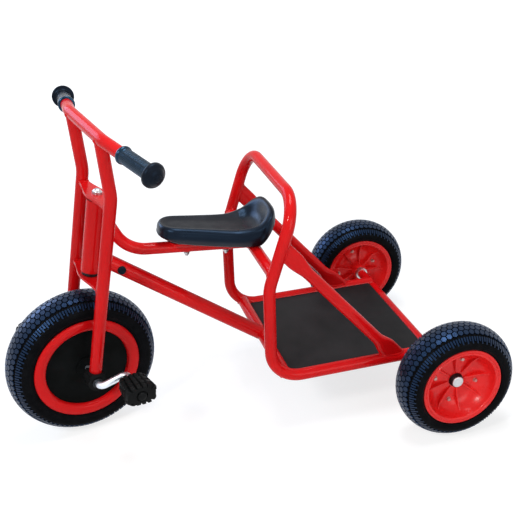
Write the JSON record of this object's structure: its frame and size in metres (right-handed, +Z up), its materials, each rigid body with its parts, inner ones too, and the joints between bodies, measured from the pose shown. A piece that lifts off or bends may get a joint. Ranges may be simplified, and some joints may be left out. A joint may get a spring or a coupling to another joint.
{
  "type": "tricycle",
  "caption": "Children's tricycle with pedals on the steered front wheel, a moulded saddle on a bent tube, a tall hoop behind it and a low rear standing platform.",
  "frame": {"origin": "on the floor, at the middle of the overall length and width", "axes": "+X forward, +Y to the rider's left, +Z up; the front wheel is stored turned 12.4 degrees to the left"},
  "size_m": [1.0434, 0.651, 0.7029],
  "materials": {
    "black_board": "matte",
    "black_plastic": "satin",
    "black_rubber": "satin",
    "red_paint": "gloss",
    "red_plastic": "gloss",
    "tyre_rubber": "satin",
    "zinc_steel": "satin"
  },
  "bodies": {
    "frame": {"down_tube": "red_paint", "head_bushings": "zinc_steel", "head_tube": "red_paint", "left_stay": "red_paint", "platform_front_tube": "red_paint", "platform_hoop": "red_paint", "platform_plate": "black_board", "platform_tabs": "red_paint", "rear_axle": "zinc_steel", "rear_axle_tube": "red_paint", "right_stay": "red_paint", "seat": "black_plastic", "seat_bracket": "red_paint", "seat_support_tube": "red_paint", "steering_bumpers": "black_rubber", "top_tube": "red_paint"},
    "fork": {"handlebar": "red_paint", "left_bearing_housing": "black_plastic", "left_fork_blade": "red_paint", "left_grip": "black_rubber", "lower_crown_plate": "red_paint", "right_bearing_housing": "black_plastic", "right_fork_blade": "red_paint", "right_grip": "black_rubber", "steering_spindle": "zinc_steel", "upper_crown_plate": "red_paint"},
    "front_wheel": {"crankshaft": "zinc_steel", "front_discs": "black_plastic", "front_hub": "black_plastic", "front_rim": "red_paint", "front_tyre": "tyre_rubber"},
    "left_pedal_body": {"left_pedal": "black_plastic"},
    "right_pedal_body": {"right_pedal": "black_plastic"},
    "left_rear_wheel": {"left_rear_rim": "red_plastic", "left_rear_tyre": "tyre_rubber"},
    "right_rear_wheel": {"right_rear_rim": "red_plastic", "right_rear_tyre": "tyre_rubber"}
  },
  "joints": [
    {"name": "steering", "type": "hinge", "parent": "frame", "child": "fork", "pos_m": [0.35635, 0, 0.16437], "axis": [-0.1857, 0, 0.9826], "range_deg": [-57.4, 32.6]},
    {"name": "front_wheel_spin", "type": "hinge", "parent": "fork", "child": "front_wheel", "pos_m": [0.35923, 0.00064, 0.16491], "axis": [-0.211, 0.9767, -0.0399], "continuous": true},
    {"name": "left_pedal_spin", "type": "hinge", "parent": "front_wheel", "child": "left_pedal_body", "pos_m": [0.27701, 0.10384, 0.17324], "axis": [-0.211, 0.9767, -0.0399], "continuous": true},
    {"name": "right_pedal_spin", "type": "hinge", "parent": "front_wheel", "child": "right_pedal_body", "pos_m": [0.44144, -0.10255, 0.15659], "axis": [-0.211, 0.9767, -0.0399], "continuous": true},
    {"name": "left_rear_wheel_spin", "type": "hinge", "parent": "frame", "child": "left_rear_wheel", "pos_m": [-0.3917, 0.2805, 0.13], "axis": [0, 1, 0], "continuous": true},
    {"name": "right_rear_wheel_spin", "type": "hinge", "parent": "frame", "child": "right_rear_wheel", "pos_m": [-0.3917, -0.2805, 0.13], "axis": [0, 1, 0], "continuous": true}
  ]
}
